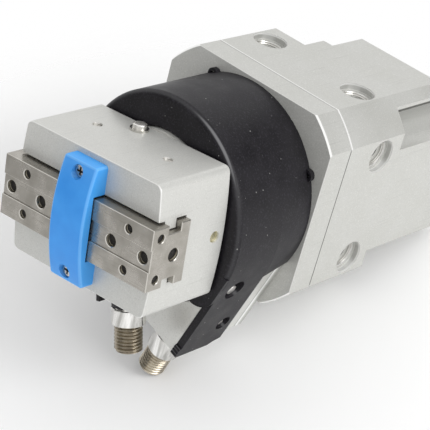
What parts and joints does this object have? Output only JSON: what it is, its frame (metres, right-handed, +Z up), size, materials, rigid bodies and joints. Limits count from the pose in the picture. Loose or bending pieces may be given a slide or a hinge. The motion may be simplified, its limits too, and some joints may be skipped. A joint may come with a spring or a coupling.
{
  "type": "rotary gripper unit",
  "caption": "Rotary gripper unit: housing block with mounting threads, fixed cable drum with a plug connector tail, and a turning head with a parallel jaw gripper.",
  "frame": {"origin": "Where the unit's axis meets the rear face.", "axes": "The unit's axis is Y, with the gripper at -Y and the rear face towards +Y. Z is up, square to the block's top face, and X points to the side with the tail."},
  "size_m": [0.062, 0.1378, 0.0858],
  "materials": {
    "blasted_aluminium": "blasted and clear anodised aluminium",
    "ground_steel": "ground tool steel",
    "black_plastic": "black moulded plastic, dull",
    "blue_plastic": "blue moulded plastic",
    "zinc_screw": "zinc plated steel",
    "nickel_thread": "nickel plated brass",
    "gold_contact": "gold plated contact",
    "bearing_steel": "polished bearing steel",
    "drive_unit": "painted metal can"
  },
  "bodies": {
    "housing": {"rear_housing": "blasted_aluminium", "rear_cover": "blasted_aluminium", "rear_cover_screws": "zinc_screw", "front_plate": "blasted_aluminium", "front_plate_screws": "zinc_screw", "cable_drum": "black_plastic", "drum_screws": "zinc_screw", "tail_bracket": "blasted_aluminium", "tail_bracket_screw": "zinc_screw", "tail_bracket_dowel": "bearing_steel", "tail_connector_shell": "nickel_thread", "tail_connector_insert": "black_plastic", "tail_connector_pins": "gold_contact", "front_bearing": "bearing_steel", "rear_bearing": "bearing_steel", "bearing_spacer": "blasted_aluminium", "rotary_drive": "drive_unit"},
    "head": {"output_shaft": "bearing_steel", "output_disc": "blasted_aluminium", "disc_screws": "zinc_screw", "hub_screws": "zinc_screw", "head_body": "blasted_aluminium", "side_plugs": "gold_contact", "earth_washer": "zinc_screw", "earth_screw": "zinc_screw", "gripper_drive": "drive_unit", "bridge_cover": "blue_plastic", "bridge_screws": "zinc_screw", "head_connector_holder": "black_plastic", "head_connector_shell": "nickel_thread", "head_connector_insert": "black_plastic", "head_connector_pins": "gold_contact"},
    "pinion": {"pinion": "ground_steel"},
    "right_jaw": {"right_jaw": "ground_steel"},
    "left_jaw": {"left_jaw": "ground_steel"}
  },
  "joints": [
    {"name": "head_rotation", "type": "hinge", "parent": "housing", "child": "head", "pos_m": [0, -0.1, 0], "axis": [0, 1, 0], "range_deg": [-173.27, 186.73]},
    {"name": "right_jaw_slide", "type": "slide", "parent": "head", "child": "right_jaw", "axis": [-0.9931, 0, -0.1172], "range_m": [0, 0.0055]},
    {"name": "left_jaw_slide", "type": "slide", "parent": "head", "child": "left_jaw", "axis": [0.9931, 0, 0.1172], "range_m": [0, 0.0055]},
    {"name": "pinion_spin", "type": "hinge", "parent": "head", "child": "pinion", "pos_m": [0, -0.118, 0], "axis": [0, -1, 0], "range_deg": [0, 66]}
  ],
  "couplings": [
    {"joint": "left_jaw_slide", "follows": "right_jaw_slide", "ratio": 1},
    {"joint": "pinion_spin", "follows": "right_jaw_slide", "rad_per_m": 208.33}
  ]
}
